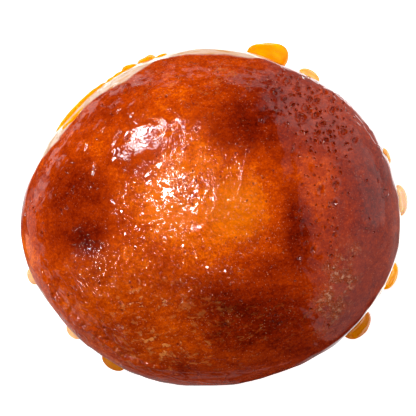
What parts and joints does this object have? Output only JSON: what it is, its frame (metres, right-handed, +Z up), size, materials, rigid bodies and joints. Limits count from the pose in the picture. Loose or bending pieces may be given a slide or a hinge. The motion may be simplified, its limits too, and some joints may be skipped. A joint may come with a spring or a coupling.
{
  "type": "jelly filled doughnut",
  "caption": "Plump round filled doughnut with no hole, browned and syrup glazed, with drips of set glaze round its flank.",
  "frame": {"origin": "middle of the flat underside that the doughnut rests on", "axes": "+Z up through the crown, +X along the oval's long axis towards the side with most drips, +Y along its short axis towards the largest drip"},
  "size_m": [0.0915, 0.0815, 0.0441],
  "materials": {
    "fried_crust": "browned fried dough under a thin clear syrup glaze, very glossy",
    "set_glaze": "thick set sugar syrup, clear amber, very glossy"
  },
  "bodies": {
    "root": {"doughnut": "fried_crust", "glaze_drip_01": "set_glaze", "glaze_drip_02": "set_glaze", "glaze_drip_03": "set_glaze", "glaze_drip_04": "set_glaze", "glaze_drip_05": "set_glaze", "glaze_drip_06": "set_glaze", "glaze_drip_07": "set_glaze", "glaze_drip_08": "set_glaze", "glaze_drip_09": "set_glaze", "glaze_drip_10": "set_glaze", "glaze_drip_11": "set_glaze"}
  },
  "joints": []
}
